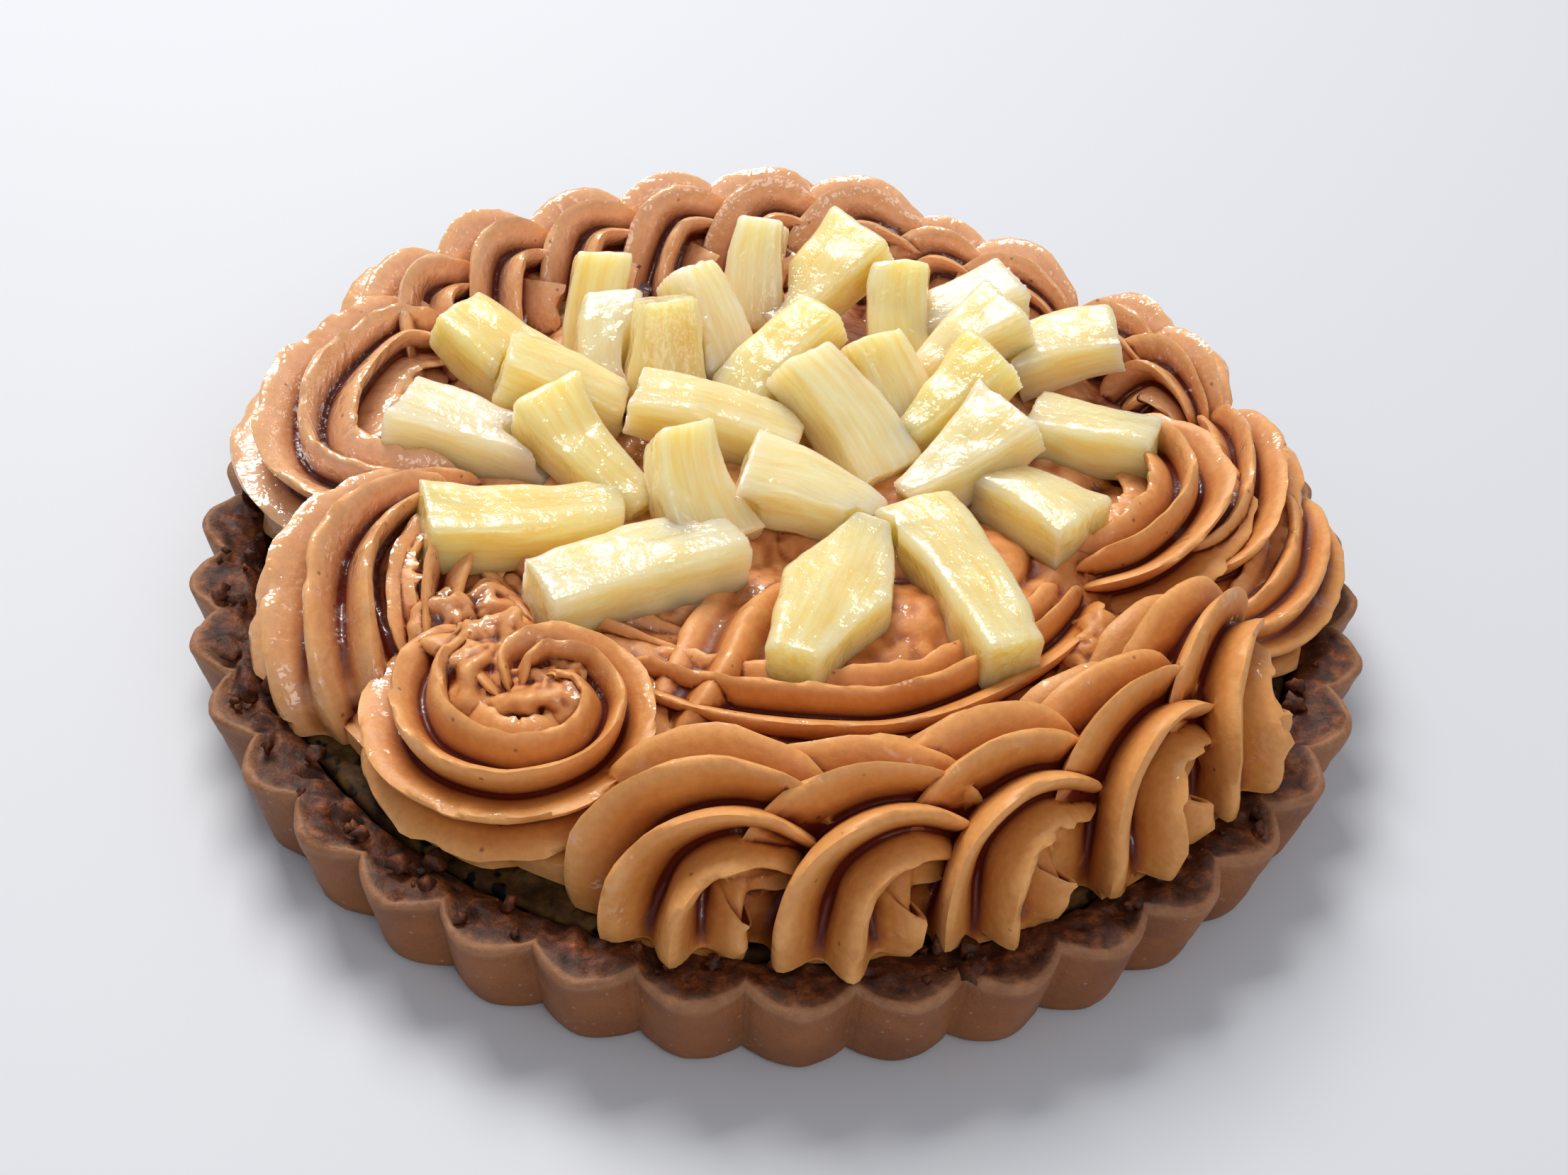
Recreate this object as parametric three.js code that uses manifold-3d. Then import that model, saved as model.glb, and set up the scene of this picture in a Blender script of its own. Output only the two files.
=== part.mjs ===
// Sweet potato tart: a fluted chocolate crust with a baked filling, a border and field of piped
// sweet potato cream, and wedges of fresh fruit laid on top like the rays of a star.
// Millimetres, +Z up, the origin at the centre of the flat base, the front of the tart towards -Y.
import * as THREE from 'three';
import { mergeVertices } from 'three/addons/utils/BufferGeometryUtils.js';
import Module from 'manifold-3d';

const wasm = await Module();
wasm.setup();

// Crust: a shallow fluted cup with a crumbly rim
const RIM_RADIUS = 60;
const BASE_RADIUS = 57.6;
const CRUST_HEIGHT = 10.6;
const FLUTES = 39;
const FLUTE_DEPTH = 2.8;
const BASE_FLUTE_DEPTH = 1.9;
const FLUTE_STEPS = 5;
const FRONT_CREST = -86;
const CREST_FULLNESS = 0.7;
const VALLEY_ROUNDING = 0.25;
const BASE_EDGE_ROUND = 1.1;
const RIM_EDGE_ROUND = 0.8;
const RIM_INNER_RADIUS = 54.2;
const CRUST_FLOOR = 3.2;
const FLOOR_RADIUS = 51.5;

// Filling: a baked disc that stops just under the rim
const GAP = 0.3;
const FILLING_TOP = 9.2;
const ROUND_SIDES = 48;

// Cream: star-shaped strands over a low mound
const FINS = 8;
const GROOVE = 0.58;
const RING_STEP = 7.2;
const FEWEST_RINGS = 5;
const END_ROUND = 0.7;
const MOUND_RADIUS = 50;
const MOUND_SHOULDER = 40;
const MOUND_CROWN = 28;
const MOUND_EDGE_TOP = 11.6;
const MOUND_SHOULDER_TOP = 15;
const MOUND_TOP = 16.2;
const MOUND_SIDES = 24;
const CREAM_CEILING = 40;

// Shells of the rope border, each piped over the tail of the one before: control points along the
// border, outwards from it, up, and the strand's radius
const FRONT_SHELL = [
  [-5.5, 3, 4, 7.5], [-6.5, 2.5, 11.5, 10.4], [-5, 1.5, 16, 9.6], [-0.5, 1.5, 17.8, 7], [5.5, 3, 15.5, 4],
];
const FRONT_ANGLES = [-89.5, -74, -59.5, -42, -26];
const FRONT_BORDER = 43.5;
const BACK_SHELL = [
  [-5, -4, 7, 7], [-4.5, -2, 13, 8.8], [-2, 0.5, 16, 8.6], [2, 0.5, 16, 5.5], [6, 0, 14, 3],
];
const BACK_ANGLES = [143, 130, 117, 104, 91.5, 79];
const BACK_BORDER = 50.5;
const SIDE_SHELL = [
  [-4, -3, 8, 5], [-3.5, -1, 12.5, 6.8], [-1.5, 0.5, 14.6, 6.8], [2, 0.5, 14.5, 4.6], [5, 0, 12.5, 3],
];
const SIDE_ANGLES = [68, 57, 39, 30];
const SIDE_BORDER = 50;

// Rosette at the front left: a spiral that climbs to its middle
const ROSETTE_CENTRE = [-20.5, -33];
const ROSETTE_START = 120;
const ROSETTE_SWEEP = 430;
const ROSETTE_STEPS = 9;
const ROSETTE_REACH = [10.6, 2.2];
const ROSETTE_HEIGHTS = [12.5, 17.5];
const ROSETTE_STRANDS = [7.4, 5];

// Fruit: wedges of one slice thickness, with their inner ends pushed on under their neighbours
const WEDGE_THICKNESS = 5.8;
const WEDGE_TUCK = 1.8;
const WEDGE_CHAMFER = 0.6;

const MERGE_DISTANCE = 1e-3;

const degrees = (angle) => angle * Math.PI / 180;

// A point in plan at a radius and an angle in degrees
function polar(radius, angle) {
  return [radius * Math.cos(degrees(angle)), radius * Math.sin(degrees(angle))];
}

// A closed geometry through a run of rings, each with the same number of points, fanned shut at both ends
function ringSolid(rings) {
  const count = rings[0].length;
  const points = rings.flat();
  const index = [];
  for (let ring = 0; ring + 1 < rings.length; ring += 1) {
    for (let k = 0; k < count; k += 1) {
      const here = ring * count + k;
      const next = ring * count + (k + 1) % count;
      index.push(here, next, next + count);
      index.push(here, next + count, here + count);
    }
  }
  for (const ring of [0, rings.length - 1]) {
    const centre = new THREE.Vector3();
    rings[ring].forEach((point) => centre.add(point));
    points.push(centre.divideScalar(count));
    for (let k = 0; k < count; k += 1) {
      const here = ring * count + k;
      const next = ring * count + (k + 1) % count;
      index.push(points.length - 1, ring === 0 ? next : here, ring === 0 ? here : next);
    }
  }
  const geometry = new THREE.BufferGeometry().setFromPoints(points);
  geometry.setIndex(index);
  return facingOut(geometry);
}

// Turns every face over where the volume comes out negative
function facingOut(geometry) {
  const place = geometry.attributes.position;
  const index = Array.from(geometry.index.array);
  const [a, b, c] = [new THREE.Vector3(), new THREE.Vector3(), new THREE.Vector3()];
  let volume = 0;
  for (let k = 0; k < index.length; k += 3) {
    a.fromBufferAttribute(place, index[k]);
    b.fromBufferAttribute(place, index[k + 1]);
    c.fromBufferAttribute(place, index[k + 2]);
    volume += a.dot(b.cross(c));
  }
  if (volume < 0) {
    geometry.setIndex(index.reverse());
  }
  return geometry;
}

// A closed solid of revolution whose profile starts and ends on the axis
function turned(profile, sides) {
  const outline = profile.map(([radius, height]) => new THREE.Vector2(radius, height));
  const geometry = new THREE.LatheGeometry(outline, sides).rotateX(Math.PI / 2);
  geometry.deleteAttribute('normal');
  geometry.deleteAttribute('uv');
  return facingOut(mergeVertices(geometry, MERGE_DISTANCE));
}

function toSolid(geometry) {
  const vertProperties = Float32Array.from(geometry.attributes.position.array);
  const triVerts = Uint32Array.from(geometry.index.array);
  return new wasm.Manifold(new wasm.Mesh({ numProp: 3, vertProperties, triVerts }));
}

function toGeometry(solid) {
  const mesh = solid.getMesh();
  const geometry = new THREE.BufferGeometry();
  geometry.setAttribute('position', new THREE.BufferAttribute(new Float32Array(mesh.vertProperties), 3));
  geometry.setIndex(Array.from(mesh.triVerts));
  return geometry;
}

// The largest of the bodies that a cut leaves, without loose scraps and sealed hollows
function mainBody(solid) {
  const bodies = toSolid(mergeVertices(toGeometry(solid), MERGE_DISTANCE)).decompose();
  bodies.sort((one, other) => other.volume() - one.volume());
  return bodies[0];
}

// Crust outline: rounded flutes at a height, pulled in by an inset
function crustRing(height, inset) {
  const rise = height / CRUST_HEIGHT;
  const crest = THREE.MathUtils.lerp(BASE_RADIUS, RIM_RADIUS, rise) - inset;
  const depth = THREE.MathUtils.lerp(BASE_FLUTE_DEPTH, FLUTE_DEPTH, rise);
  return roundRing(height, (turn) => crest - depth * flute(turn));
}

// Share of the flute depth at a turn: rounded crests that meet in narrower valleys
function flute(turn) {
  const arch = Math.abs(Math.cos(FLUTES * turn / 2)) ** CREST_FULLNESS;
  const wave = 0.5 + 0.5 * Math.cos(FLUTES * turn);
  return 1 - THREE.MathUtils.lerp(arch, wave, VALLEY_ROUNDING);
}

// One ring of points round the tart, starting at the front crest
function roundRing(height, radiusAt) {
  const steps = FLUTES * FLUTE_STEPS;
  const ring = [];
  for (let k = 0; k < steps; k += 1) {
    const turn = k / steps * 2 * Math.PI;
    const angle = turn + degrees(FRONT_CREST);
    const radius = radiusAt(turn);
    ring.push(new THREE.Vector3(radius * Math.cos(angle), radius * Math.sin(angle), height));
  }
  return ring;
}

function crust() {
  return ringSolid([
    crustRing(0, BASE_EDGE_ROUND),
    crustRing(BASE_EDGE_ROUND, 0),
    crustRing(CRUST_HEIGHT - RIM_EDGE_ROUND, 0),
    crustRing(CRUST_HEIGHT, RIM_EDGE_ROUND),
    roundRing(CRUST_HEIGHT - RIM_EDGE_ROUND / 2, () => RIM_INNER_RADIUS),
    roundRing(CRUST_FLOOR, () => FLOOR_RADIUS),
  ]);
}

function filling() {
  const wall = (RIM_INNER_RADIUS - FLOOR_RADIUS) / (CRUST_HEIGHT - CRUST_FLOOR);
  const low = CRUST_FLOOR + GAP;
  const topRadius = FLOOR_RADIUS + wall * (FILLING_TOP - CRUST_FLOOR) - GAP;
  const profile = [[0, low], [FLOOR_RADIUS - GAP, low], [topRadius, FILLING_TOP], [0, FILLING_TOP]];
  return turned(profile, ROUND_SIDES);
}

// Control points of a border shell set at a tart angle, piped anticlockwise or, with way -1, clockwise
function shell(points, angle, border, way) {
  const [across, up] = polar(1, angle);
  return points.map(([along, out, height, thick]) => [
    (border + out) * across - way * along * up,
    (border + out) * up + way * along * across,
    height,
    thick,
  ]);
}

function rosette() {
  const points = [];
  for (let step = 0; step <= ROSETTE_STEPS; step += 1) {
    const fraction = step / ROSETTE_STEPS;
    const reach = THREE.MathUtils.lerp(...ROSETTE_REACH, fraction);
    const [x, y] = polar(reach, ROSETTE_START + ROSETTE_SWEEP * fraction);
    points.push([
      ROSETTE_CENTRE[0] + x,
      ROSETTE_CENTRE[1] + y,
      THREE.MathUtils.lerp(...ROSETTE_HEIGHTS, fraction),
      THREE.MathUtils.lerp(...ROSETTE_STRANDS, fraction),
    ]);
  }
  return points;
}

// Strokes of the piping bag, each a run of control points: x, y, height and strand radius
function pipedStrokes() {
  return [
    ...FRONT_ANGLES.map((angle) => shell(FRONT_SHELL, angle, FRONT_BORDER, 1)),
    ...BACK_ANGLES.map((angle) => shell(BACK_SHELL, angle, BACK_BORDER, -1)),
    ...SIDE_ANGLES.map((angle) => shell(SIDE_SHELL, angle, SIDE_BORDER, -1)),
    rosette(),
    // Two strokes side by side at the left of the rosette
    [[-37, -27, 4, 7], [-40, -22.5, 11, 8.8], [-41, -15, 14.8, 8.6], [-38, -8, 16, 6.4], [-33, -3.5, 14.5, 4]],
    [[-32, -26, 12.5, 5], [-33, -15, 14.5, 6.5], [-30, -4, 14.5, 5.5]],
    // Open loop at the left
    [[-38, 24, 15, 5], [-45, 20, 16, 7], [-49, 9, 14.5, 8.5], [-47, 1, 13, 8], [-39, -2, 13, 7],
      [-31, 1, 13, 5.5]],
    // Two arcs at the right, one outside the other
    [[34, 14, 14.5, 5], [40, 9, 15.5, 6.5], [41, 1, 15.5, 7], [36, -6, 14.5, 6.5], [29, -8, 13, 5]],
    [[46.5, 21, 13, 4.5], [48.5, 13.5, 13.5, 6.2], [47.5, 4, 13.5, 6.6], [44, -3, 13, 6], [38, -5, 12.5, 4.5]],
    // Inner strokes that the fruit leans on
    [[-14, -25, 12.5, 5], [-2, -30, 13.2, 6.5], [12, -29, 13.2, 6.5], [24, -20, 13, 6], [30, -10, 12.5, 5]],
    [[-30, 2, 12.5, 5], [-27, -10, 13.2, 6.5], [-18, -20, 13.2, 6.5], [-6, -24, 12.5, 5]],
  ];
}

// The strand itself: an eight-pointed star carried along the stroke and rounded off at both ends
function strand(stroke) {
  const path = new THREE.CatmullRomCurve3(stroke.map(([x, y, z]) => new THREE.Vector3(x, y, z)));
  const thickness = new THREE.SplineCurve(stroke.map(([, , , thick], k) => new THREE.Vector2(k, thick)));
  const length = path.getLength();
  const rings = Math.max(FEWEST_RINGS, Math.round(length / RING_STEP));
  const { normals, binormals } = path.computeFrenetFrames(rings, false);
  const solid = [];
  for (let step = 0; step <= rings; step += 1) {
    const fraction = step / rings;
    const middle = path.getPointAt(fraction);
    const thick = thickness.getPoint(path.getUtoTmapping(fraction)).y;
    const fromEnd = Math.min(fraction, 1 - fraction) * length;
    const rounding = Math.max(0, 1 - (fromEnd + GAP) / (END_ROUND * thick));
    const radius = thick * Math.sqrt(1 - rounding * rounding);
    const ring = [];
    for (let k = 0; k < FINS * 2; k += 1) {
      const angle = k / FINS * Math.PI;
      const reach = k % 2 === 0 ? radius : radius * GROOVE;
      const point = middle.clone();
      point.addScaledVector(normals[step], reach * Math.cos(angle));
      point.addScaledVector(binormals[step], reach * Math.sin(angle));
      ring.push(point);
    }
    solid.push(ring);
  }
  return ringSolid(solid);
}

// The mound that the strokes are piped over
function mound() {
  const low = FILLING_TOP + GAP;
  return turned([
    [0, low],
    [MOUND_RADIUS, low],
    [MOUND_RADIUS, MOUND_EDGE_TOP],
    [MOUND_SHOULDER, MOUND_SHOULDER_TOP],
    [MOUND_CROWN, MOUND_TOP],
    [0, MOUND_TOP],
  ], MOUND_SIDES);
}

// The room that the cream may take: above the filling, inside the rim, and above the rim's top
function creamRoom() {
  const low = FILLING_TOP + GAP;
  const overRim = CRUST_HEIGHT + GAP;
  const inside = RIM_INNER_RADIUS - 2 * GAP;
  return turned([
    [0, low],
    [inside, low],
    [inside, overRim],
    [RIM_RADIUS, overRim],
    [RIM_RADIUS, CREAM_CEILING],
    [0, CREAM_CEILING],
  ], ROUND_SIDES);
}

// Fruit wedges, those that lie on top first: inner end, outer end, the widths at the two ends and, where
// it isn't between them, the width in the middle. Ends are given at half the wedge's thickness.
const wedges = [
  [[-13, 15, 18], [-14, 19.5, 27], [9, 7]],
  [[14, 0.5, 17.5], [23, 8, 23], [3.4, 9.6]],
  [[-15.5, -4, 17.5], [-25.5, 6, 22], [5, 8]],
  [[-7, -8, 18], [-11.5, -0.5, 24], [9.4, 6]],
  [[9.5, 5, 17.5], [1, 14, 24], [7.6, 7.4]],
  [[14, 9.5, 18.5], [21.5, 16.5, 24], [3, 8]],
  [[-6.5, -11, 18], [-22.5, -21, 19.5], [7, 8.4]],
  [[8.5, -8, 17.5], [2, -28, 19], [4, 5.5, 11]],
  [[14, -5, 17.5], [22.5, -25, 19], [8.6, 6.2]],
  [[8, -4, 17.5], [-4.5, -2, 21], [5, 9.6]],
  [[-18, -7.5, 18], [-34.5, -12.5, 20], [6.4, 8.8]],
  [[14, 19, 18.5], [23.5, 25.5, 24], [3, 7.4]],
  [[-1, 7, 18], [-16.5, 9, 21.5], [6, 7.6]],
  [[-5, 14, 18], [3, 22.5, 24], [7.6, 5.6]],
  [[-6.5, 18.5, 18], [-12, 27, 25], [7, 6]],
  [[-19, 11, 18.5], [-30, 11.5, 22.5], [5.6, 7]],
  [[20, 3, 17.5], [30, -5.5, 18.5], [4, 9.4]],
  [[27.5, 13.5, 17.5], [38.5, 8.5, 19], [8, 5.4]],
  [[-27, 14.5, 18], [-37, 21, 21.5], [8.6, 8.4]],
  [[-25.5, 2.5, 17.5], [-40, 5.5, 20], [5, 8.8]],
  [[11.5, 13.5, 18.5], [8, 18.5, 24], [6, 7]],
  [[-22, 23, 17.5], [-22, 31, 24], [8, 6]],
  [[-5, 30, 18], [-4.5, 37.5, 26], [7.6, 5]],
  [[-1.5, 29, 18.5], [7.5, 37.5, 25], [6.4, 9.6]],
  [[25.5, 24.5, 18], [35.5, 26.5, 21], [7, 8]],
  [[14.5, 29.5, 18], [24.5, 35, 21], [6, 7.6]],
  [[11.5, 24, 18], [11, 32.5, 24], [7, 7]],
  [[-19, 14.5, 17.5], [-20.5, 25, 22], [6.6, 6.6]],
];

// A wedge between two end points: a rectangle with cut edges, whose width changes along it
function wedge([inner, outer, [innerWidth, outerWidth, middleWidth]], grow) {
  const end = new THREE.Vector3(...outer);
  const ahead = end.clone().sub(new THREE.Vector3(...inner)).normalize();
  const start = new THREE.Vector3(...inner).addScaledVector(ahead, -WEDGE_TUCK);
  const side = new THREE.Vector3().crossVectors(ahead, new THREE.Vector3(0, 0, 1)).normalize();
  const up = new THREE.Vector3().crossVectors(side, ahead);
  const length = start.distanceTo(end);
  const stations = [[-grow, innerWidth], [length + grow, outerWidth]];
  if (middleWidth) {
    stations.splice(1, 0, [length / 2, middleWidth]);
  }
  return ringSolid(stations.map(([along, width]) => {
    const halfWidth = width / 2 + grow;
    const halfThick = WEDGE_THICKNESS / 2 + grow;
    const corners = [];
    for (const [right, top] of [[1, 1], [-1, 1], [-1, -1], [1, -1]]) {
      const cuts = right * top > 0 ? [[0, 1], [1, 0]] : [[1, 0], [0, 1]];
      for (const [cutSide, cutTop] of cuts) {
        const point = start.clone().addScaledVector(ahead, along);
        point.addScaledVector(side, right * (halfWidth - cutSide * WEDGE_CHAMFER));
        point.addScaledVector(up, top * (halfThick - cutTop * WEDGE_CHAMFER));
        corners.push(point);
      }
    }
    return corners;
  }));
}

// Each wedge gives way to those that lie on it
function fruit() {
  const laid = [];
  for (const size of wedges) {
    let body = toSolid(wedge(size, 0));
    for (const over of laid) {
      body = body.subtract(over.room);
    }
    laid.push({ body: mainBody(body), room: toSolid(wedge(size, GAP)) });
  }
  return laid;
}

function cream(laid) {
  let body = toSolid(mound());
  for (const line of pipedStrokes()) {
    body = body.add(toSolid(strand(line)));
  }
  body = body.intersect(toSolid(creamRoom()));
  for (const { room } of laid) {
    body = body.subtract(room);
  }
  return mainBody(body);
}

const chocolateCrust = new THREE.MeshStandardMaterial({ color: 0x5a4038, roughness: 0.7, metalness: 0 });
const bakedFilling = new THREE.MeshStandardMaterial({ color: 0x645537, roughness: 0.6, metalness: 0 });
const sweetPotatoCream = new THREE.MeshStandardMaterial({ color: 0xc07c4a, roughness: 0.45, metalness: 0 });
const ripeFruit = new THREE.MeshStandardMaterial({ color: 0xf0dc8c, roughness: 0.3, metalness: 0 });

const tart = new THREE.Group();

function place(name, geometry, material) {
  const mesh = new THREE.Mesh(geometry, material);
  mesh.name = name;
  tart.add(mesh);
}

const laidFruit = fruit();
place('tart_shell', crust(), chocolateCrust);
place('filling', filling(), bakedFilling);
place('piped_cream', toGeometry(cream(laidFruit)), sweetPotatoCream);
laidFruit.forEach(({ body }, k) => {
  place(`fruit_wedge_${String(k + 1).padStart(2, '0')}`, toGeometry(body), ripeFruit);
});

export default tart;
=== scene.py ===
import itertools
import math
import bmesh
import bpy
import numpy as np
from mathutils import Matrix, Vector


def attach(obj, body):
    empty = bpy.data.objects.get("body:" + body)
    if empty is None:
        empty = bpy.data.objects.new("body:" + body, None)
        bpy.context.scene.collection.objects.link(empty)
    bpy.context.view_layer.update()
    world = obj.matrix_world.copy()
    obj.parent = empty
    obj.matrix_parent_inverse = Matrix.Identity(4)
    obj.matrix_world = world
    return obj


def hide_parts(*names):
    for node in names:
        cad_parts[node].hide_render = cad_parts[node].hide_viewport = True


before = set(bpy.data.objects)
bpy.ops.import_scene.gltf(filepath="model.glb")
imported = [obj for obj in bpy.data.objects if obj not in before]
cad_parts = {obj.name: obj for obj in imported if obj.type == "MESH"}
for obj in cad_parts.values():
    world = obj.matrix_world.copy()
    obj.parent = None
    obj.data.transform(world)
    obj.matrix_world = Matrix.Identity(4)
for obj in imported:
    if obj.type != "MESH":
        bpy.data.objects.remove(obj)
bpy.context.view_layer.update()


# Crust: a shallow fluted case of cocoa shortcrust, pressed into a tin and baked. The tin leaves its
# outside smooth and satin, and the rim, broken level by hand, is darker, moist and crumbly, with a
# thin paler outer edge.
MM = 0.001
CRUST_HEIGHT = 10.6
RIM_RADIUS = 60
BASE_RADIUS = 57.6
RIM_INNER_RADIUS = 54.2
RIM_DIP = 0.9
CRUST_FLOOR = 3.2
FLOOR_RADIUS = 51.5
FLUTES = 39
FLUTE_DEPTH = 2.8
BASE_FLUTE_DEPTH = 1.9
FLUTE_STEPS = 20
CREST_FULLNESS = 0.7
VALLEY_ROUNDING = 0.25
FRONT_CREST = -86
BASE_EDGE_ROUND = 1.1
RIM_EDGE_ROUND = 0.8
INNER_EDGE_ROUND = 0.6
INNER_EDGE_INSET = 0.5
# Rings of points up each stretch of the crust, and the share of a rounded edge where the first one lies
BASE_EDGE_RINGS = 4
WALL_RINGS = 18
RIM_EDGE_RINGS = 5
RIM_RINGS = 16
INSIDE_RINGS = 6
FIRST_BEND = 0.2
# The paler edge: how far it fades down the wall, its share on the rim and how fast it fades inwards
PALE_WALL = 1.4
PALE_RIM = 0.7
PALE_RIM_FADE = 3
BROKEN_EDGE = 0.3
# Layers of noise: lump size, height and seed of each
WALL_WAVES = [(6, 0.2, 1), (1.3, 0.09, 2)]
INNER_EDGE_WAVES = [(5, 0.7, 5), (1.8, 0.4, 7)]
RIM_CRUMBS = [(4.5, 0.3, 8), (2.1, 0.34, 3), (1.1, 0.26, 4)]
RIM_SPREAD = 0.35
# Pits: size, depth, the level of noise where they begin, and seed
WALL_PITS = (2, 0.25, 0.55, 9)
RIM_PITS = (1.7, 1.1, 0.3, 6)
FLAT_BASE = 0.2
LEVEL_MARGIN = 0.1
# Numbers that mix a place and a seed into noise
PLACE_PRIMES = (73856093, 19349663, 83492791)
SEED_PRIME = 2654435761
MIX_PRIME = 1274126177
SEED_SHIFT = 13.7
# Colour sockets of a Mix node
COLOUR_A = 6
COLOUR_B = 7
MIXED = 2


def lin(code):
    """Linear colour of an sRGB hex value."""
    parts = [int(code[k:k + 2], 16) / 255 for k in (1, 3, 5)]
    parts = [c / 12.92 if c <= 0.04045 else ((c + 0.055) / 1.055) ** 2.4 for c in parts]
    return (*parts, 1)


def new_material(name):
    """An empty node material and its tree."""
    material = bpy.data.materials.new(name)
    material.use_nodes = True
    material.node_tree.nodes.clear()
    return material, material.node_tree


def add(tree, kind, sockets=None, stops=(), out=0, **settings):
    """Adds a shader node with its settings, its socket values or links, and the colour stops of a ramp.

    Gives back the node's first output, or the one that is asked for."""
    made = tree.nodes.new("ShaderNode" + kind)
    for name, value in settings.items():
        setattr(made, name, value)
    for socket, value in (sockets or {}).items():
        if isinstance(value, bpy.types.NodeSocket):
            tree.links.new(value, made.inputs[socket])
        else:
            made.inputs[socket].default_value = value
    for k, (position, code) in enumerate(stops):
        row = made.color_ramp.elements
        element = row[k] if k < len(row) else row.new(1)
        element.position = position
        element.color = lin(code)
    return made.outputs[out] if made.outputs else None


def relief(points, size, seed):
    """Smooth noise from -1 to 1 over points in millimetres, in lumps of the given size."""
    cell = np.asarray(points) / size + seed * SEED_SHIFT
    low = np.floor(cell).astype(np.int64)
    part = cell - low
    part = part * part * (3 - 2 * part)
    total = np.zeros(len(cell))
    for corner in itertools.product((0, 1), repeat=3):
        x, y, z = ((low + corner) * PLACE_PRIMES).T
        mix = x ^ y ^ z ^ (seed * SEED_PRIME)
        mix = (mix ^ (mix >> 13)) * MIX_PRIME & 0xFFFFFFFF
        value = ((mix ^ (mix >> 16)) & 0xFFFF) / 32767.5 - 1
        total += value * np.prod(np.where(corner, part, 1 - part), axis=1)
    return total


def layered(points, layers):
    """Layers of noise on top of each other."""
    return sum(height * relief(points, size, seed) for size, height, seed in layers)


def pits(points, size, depth, level, seed):
    """Depth of scattered pits, which lie where noise rises above a level."""
    return depth * np.clip(relief(points, size, seed) - level, 0, 1)


def lofted(rows):
    """Points and faces of a closed skin through rings of points, fanned shut at both ends."""
    rings, count = rows.shape[:2]
    points = np.vstack([rows.reshape(-1, 3), rows[:1].mean(1), rows[-1:].mean(1)])
    here = np.arange(count)
    after = (here + 1) % count
    faces = []
    for ring in range(rings - 1):
        low = ring * count
        faces += np.stack([low + here, low + after, low + count + after, low + count + here], 1).tolist()
    last = (rings - 1) * count
    faces += np.stack([np.full(count, rings * count), after, here], 1).tolist()
    faces += np.stack([np.full(count, rings * count + 1), last + here, last + after], 1).tolist()
    return points, faces


def mesh_object(name, points, faces):
    """A mesh object from points in millimetres, with its faces turned outwards."""
    mesh = bpy.data.meshes.new(name)
    mesh.from_pydata((np.asarray(points) * MM).tolist(), [], faces)
    corners = np.array([face[:3] for face in faces])
    a, b, c = (np.asarray(points)[corners[:, k]] for k in range(3))
    if np.einsum("ij,ij->i", a, np.cross(b, c)).sum() < 0:
        mesh.flip_normals()
    mesh.update()
    made = bpy.data.objects.new(name, mesh)
    bpy.context.scene.collection.objects.link(made)
    return made


def store(mesh, name, values):
    """Keeps a value for each point of a mesh, for its material to read."""
    layer = mesh.attributes.new(name, "FLOAT", "POINT")
    layer.data.foreach_set("value", np.asarray(values, np.float32))


def settle(piece, material, nodes):
    """Gives a piece its material, lets it ride on the tart and hides the solids it stands for."""
    piece.data.materials.clear()
    piece.data.materials.append(material)
    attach(piece, "root")
    if nodes:
        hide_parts(*nodes)


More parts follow.
